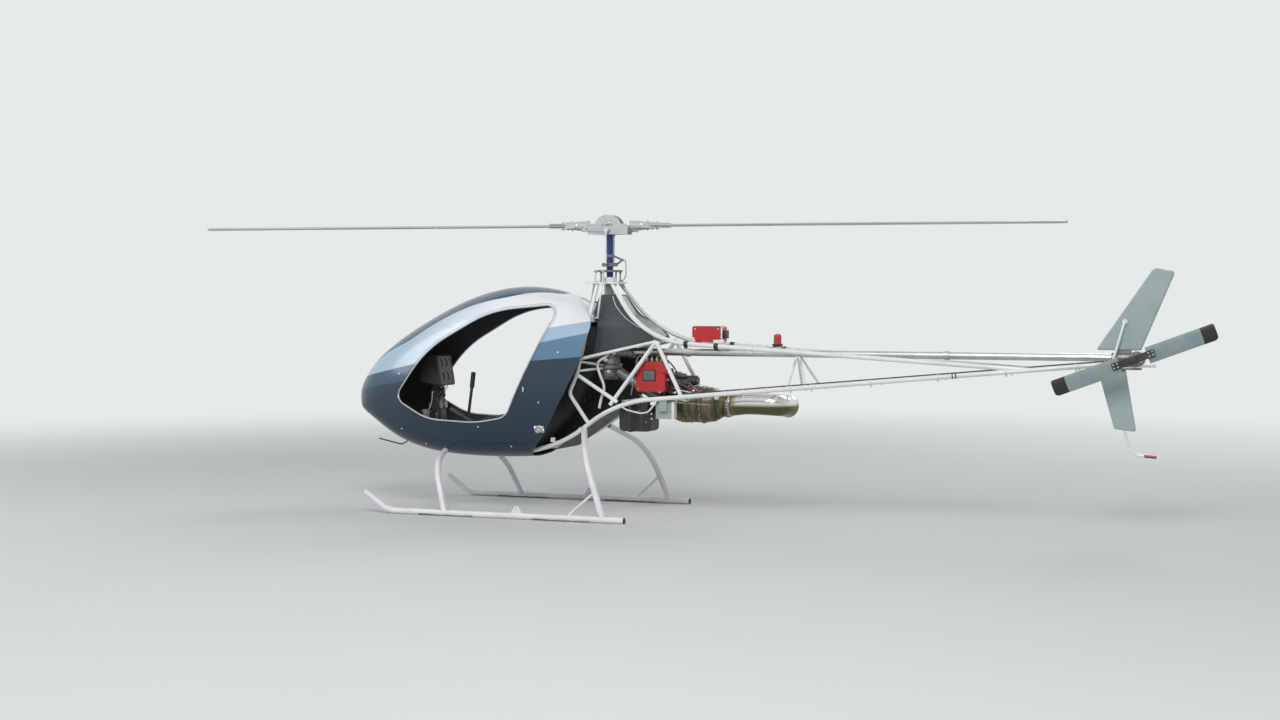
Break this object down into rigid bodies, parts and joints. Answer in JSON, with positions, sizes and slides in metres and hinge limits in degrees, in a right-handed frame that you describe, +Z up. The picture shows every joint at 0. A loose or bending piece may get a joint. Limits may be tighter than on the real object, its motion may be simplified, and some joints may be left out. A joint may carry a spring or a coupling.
{
  "type": "single-seat kit helicopter",
  "caption": "Single-seat kit helicopter: egg-shaped open-door cabin, tube truss boom, teetering two-blade rotor, tail rotor and skids.",
  "frame": {"origin": "bottom centre of the whole machine's box, under the truss behind the mast, at ground height", "axes": "+X aft, +Y to starboard, +Z up"},
  "size_m": [7.403, 1.3838, 2.123],
  "materials": {
    "cabin_paint": "gloss two-tone paint over glass fibre",
    "windshield": "clear acrylic",
    "black_trim": "satin",
    "cloth": "woven cloth",
    "black_metal": "satin black",
    "frame_paint": "gloss white",
    "cast_metal": "cast",
    "bare_tube": "mill finish",
    "tank_plastic": "satin",
    "engine_metal": "heat-coloured metal",
    "engine_dark": "dark castings",
    "exhaust_metal": "polished",
    "grey_paint": "satin",
    "red_paint": "gloss",
    "red_metal": "painted",
    "gear_paint": "gloss white paint",
    "beacon_red": "tinted lens",
    "fin_paint": "satin paint",
    "bright_metal": "machined and polished",
    "mast_blue": "satin",
    "blade_paint": "satin paint",
    "tail_blade_paint": "satin paint"
  },
  "bodies": {
    "airframe": {"back_cushion": "cloth", "battery_box": "black_trim", "beacon": "beacon_red", "boom_braces": "frame_paint", "bulkhead": "black_trim", "cabin_floor": "black_trim", "cabin_port": "cabin_paint", "cabin_starboard": "cabin_paint", "collective_lever": "black_metal", "cross_tubes": "frame_paint", "cyclic_stick": "black_metal", "engine": "engine_metal", "engine_accessories": "engine_dark", "engine_mounts": "frame_paint", "exhaust_pipe": "exhaust_metal", "fin_strut": "frame_paint", "front_legs": "gear_paint", "fuel_tank": "tank_plastic", "gearbox_arms": "frame_paint", "grey_box": "grey_paint", "instrument_pod": "black_trim", "leg_braces": "gear_paint", "lower_fin": "fin_paint", "lower_longeron_port": "frame_paint", "lower_longeron_starboard": "frame_paint", "lower_swashplate": "bright_metal", "main_gearbox": "cast_metal", "mast_top_plate": "frame_paint", "pedals": "black_metal", "pitot_tube": "black_metal", "rear_legs": "gear_paint", "red_control_box": "red_paint", "seat_cushion": "cloth", "seat_pan": "black_trim", "skid_port": "gear_paint", "skid_starboard": "gear_paint", "stabiliser": "fin_paint", "struts_port": "frame_paint", "struts_starboard": "frame_paint", "tail_drive_tube": "bare_tube", "tail_gearbox": "cast_metal", "tail_skid": "red_metal", "top_equipment_box": "red_paint", "upper_fin": "fin_paint", "upper_longeron_port": "frame_paint", "upper_longeron_starboard": "frame_paint", "wheel_lugs": "gear_paint", "windshield": "windshield"},
    "main_rotor_mast": {"mast_shaft": "mast_blue", "upper_swashplate": "bright_metal", "pitch_links": "bright_metal"},
    "main_rotor_head": {"rotor_yoke": "bright_metal", "blade_grips": "bright_metal", "main_blade_aft": "blade_paint", "main_blade_forward": "blade_paint"},
    "tail_rotor": {"tail_rotor_hub": "black_metal", "tail_blades": "tail_blade_paint"}
  },
  "joints": [
    {"name": "main_rotor_spin", "type": "hinge", "parent": "airframe", "child": "main_rotor_mast", "pos_m": [-0.49995, 0, 2.045], "axis": [0, 0, 1], "continuous": true},
    {"name": "main_rotor_teeter", "type": "hinge", "parent": "main_rotor_mast", "child": "main_rotor_head", "pos_m": [-0.49995, 0, 2.057], "axis": [-0.0663, 0.9978, 0], "range_deg": [-6, 6]},
    {"name": "tail_rotor_spin", "type": "hinge", "parent": "airframe", "child": "tail_rotor", "pos_m": [3.18005, -0.187, 1.144], "axis": [0, -1, 0], "continuous": true}
  ]
}
